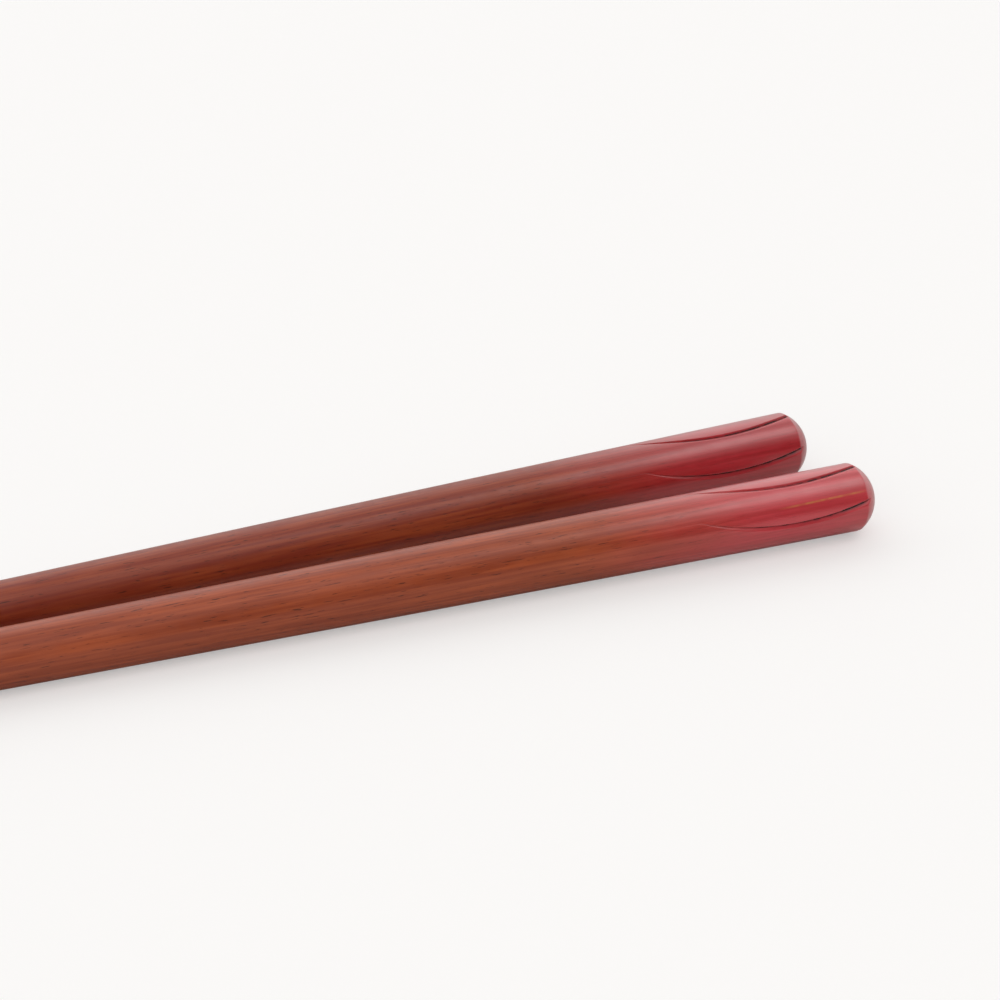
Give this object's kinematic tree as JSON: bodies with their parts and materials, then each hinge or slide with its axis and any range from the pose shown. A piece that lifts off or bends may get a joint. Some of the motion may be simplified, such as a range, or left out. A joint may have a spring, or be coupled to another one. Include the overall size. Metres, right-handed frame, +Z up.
{
  "type": "chopsticks",
  "caption": "Pair of round tapered wooden chopsticks in dark red wiped lacquer, each head carved with curved overlapping petals like a flower bud.",
  "frame": {"origin": "middle of the pair's bounding box, on the surface it lies on", "axes": "+X towards the carved heads along the middle line of the pair, +Y towards the back stick, +Z up"},
  "size_m": [0.2154, 0.0234, 0.0079],
  "materials": {
    "lacquered_wood": "semi-gloss wiped lacquer, brown-red shading to crimson at the head"
  },
  "bodies": {
    "root": {"front_chopstick": "lacquered_wood", "back_chopstick": "lacquered_wood"}
  },
  "joints": []
}
